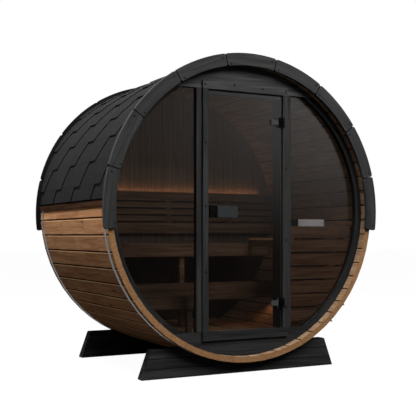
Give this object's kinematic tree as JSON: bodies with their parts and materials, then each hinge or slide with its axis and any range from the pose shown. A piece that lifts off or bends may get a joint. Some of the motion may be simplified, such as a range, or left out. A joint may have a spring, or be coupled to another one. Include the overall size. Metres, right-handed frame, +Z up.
{
  "type": "barrel sauna",
  "caption": "Barrel-shaped timber sauna lying on two cradles, with a glazed front, a hinged glass door, slatted benches inside and a shingled roof over its upper half.",
  "frame": {"origin": "ground level, under the middle of the barrel", "axes": "+Z up, the barrel's axis along Y, the glazed front towards -Y, +X to the right seen from the front"},
  "size_m": [2.116, 1.47, 2.1645],
  "materials": {
    "barrel_staves": "oiled, satin",
    "spruce_boards": "bare, planed",
    "bench_wood": "bare, planed",
    "bead_wood": "bare, planed",
    "stained_timber": "black stain, matt",
    "stained_fascia": "charcoal stain, matt",
    "stained_frame": "black stain, satin",
    "brown_batten": "dark brown stain, matt",
    "bitumen_shingle": "mineral grit, matt",
    "steel_band": "zinc-plated, satin",
    "satin_steel": "satin",
    "black_metal": "black, satin",
    "heater_steel": "satin",
    "light_strip": "frosted cover",
    "tinted_glass": "bronze tint, polished"
  },
  "bodies": {
    "sauna": {"back_wall": "spruce_boards", "backrest": "bench_wood", "cradle_front": "stained_timber", "cradle_rear": "stained_timber", "door_header": "stained_frame", "door_post_left": "stained_frame", "door_post_right": "stained_frame", "door_sill": "stained_frame", "door_stiles": "stained_frame", "eave_battens": "brown_batten", "fascia_front": "stained_fascia", "fascia_rear": "stained_fascia", "floor_boards": "spruce_boards", "floor_joists": "spruce_boards", "front_bottom_panel": "stained_frame", "front_ring_left": "stained_frame", "front_ring_right": "stained_frame", "front_top_panel": "stained_frame", "glazing_beads": "bead_wood", "heater": "heater_steel", "heater_guard": "bench_wood", "hinge_leaves": "black_metal", "hoop_front": "steel_band", "hoop_rear": "steel_band", "light_strip": "light_strip", "lower_bench": "bench_wood", "ridge_cap": "bitumen_shingle", "roof_courses_left": "bitumen_shingle", "roof_courses_right": "bitumen_shingle", "staves_bottom": "barrel_staves", "staves_left": "barrel_staves", "staves_lower_left": "barrel_staves", "staves_lower_right": "barrel_staves", "staves_right": "barrel_staves", "staves_top": "barrel_staves", "staves_upper_left": "barrel_staves", "staves_upper_right": "barrel_staves", "step_bench": "bench_wood", "upper_bench": "bench_wood", "window_left": "tinted_glass", "window_right": "tinted_glass"},
    "door": {"door_glass": "tinted_glass", "door_handle": "satin_steel", "door_latch": "black_metal", "door_hinge_plates": "satin_steel"}
  },
  "joints": [
    {"name": "door_hinge", "type": "hinge", "parent": "sauna", "child": "door", "pos_m": [0.28846, -0.677, 1.1], "axis": [0, 0, 1], "range_deg": [0, 100]}
  ]
}
